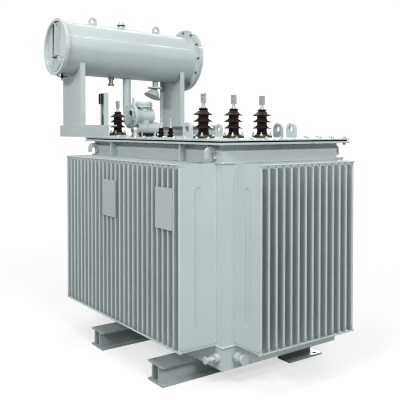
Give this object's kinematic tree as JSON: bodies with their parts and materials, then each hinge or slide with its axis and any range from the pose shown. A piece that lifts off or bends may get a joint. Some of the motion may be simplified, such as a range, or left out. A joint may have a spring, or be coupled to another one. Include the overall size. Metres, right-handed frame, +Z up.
{
  "type": "power transformer",
  "caption": "Oil-filled power transformer with corrugated cooling walls, porcelain bushings on the cover and a conservator drum on posts.",
  "frame": {"origin": "on the floor, at the centre of the skid's four outer anchor holes", "axes": "+Z up, +X along the tank away from the conservator, -Y toward the long side that carries the two plates"},
  "size_m": [2.1269, 1.278, 2.1279],
  "materials": {
    "paint": "satin grey-green enamel",
    "porcelain": "brown glazed porcelain",
    "tinned": "tinned copper",
    "brass": "cast",
    "gasket": "matt",
    "clip": "matt",
    "plate": "satin, bare of marks"
  },
  "bodies": {
    "root": {"skid_beam_right": "paint", "skid_beam_left": "paint", "stub_foot": "paint", "tank_body": "paint", "fins_front": "paint", "fins_rear": "paint", "fins_right": "paint", "fins_left": "paint", "rim_flange": "paint", "rim_stiffeners": "paint", "lifting_hooks": "paint", "gasket": "gasket", "lid": "paint", "lid_lugs": "paint", "bushing_porcelain_1": "porcelain", "bushing_porcelain_2": "porcelain", "bushing_porcelain_3": "porcelain", "bushing_terminal_1": "tinned", "bushing_terminal_2": "tinned", "bushing_terminal_3": "tinned", "bushing_clamps": "brass", "neutral_porcelain": "porcelain", "neutral_terminal": "tinned", "small_bushings": "porcelain", "small_studs": "tinned", "conservator_shell": "paint", "conservator_gauge_end": "paint", "conservator_flange_end": "paint", "level_gauge": "paint", "conservator_eyes": "paint", "filler_neck": "paint", "conservator_drain": "brass", "breather": "paint", "post_front": "paint", "post_rear": "paint", "support_beam_front": "paint", "support_beam_rear": "paint", "conservator_pipe": "paint", "relay_body": "paint", "relay_cover": "paint", "instrument_bracket": "paint", "instrument_clip": "clip", "nameplates": "plate", "drain_valve": "paint", "sampling_cock": "paint"}
  },
  "joints": []
}
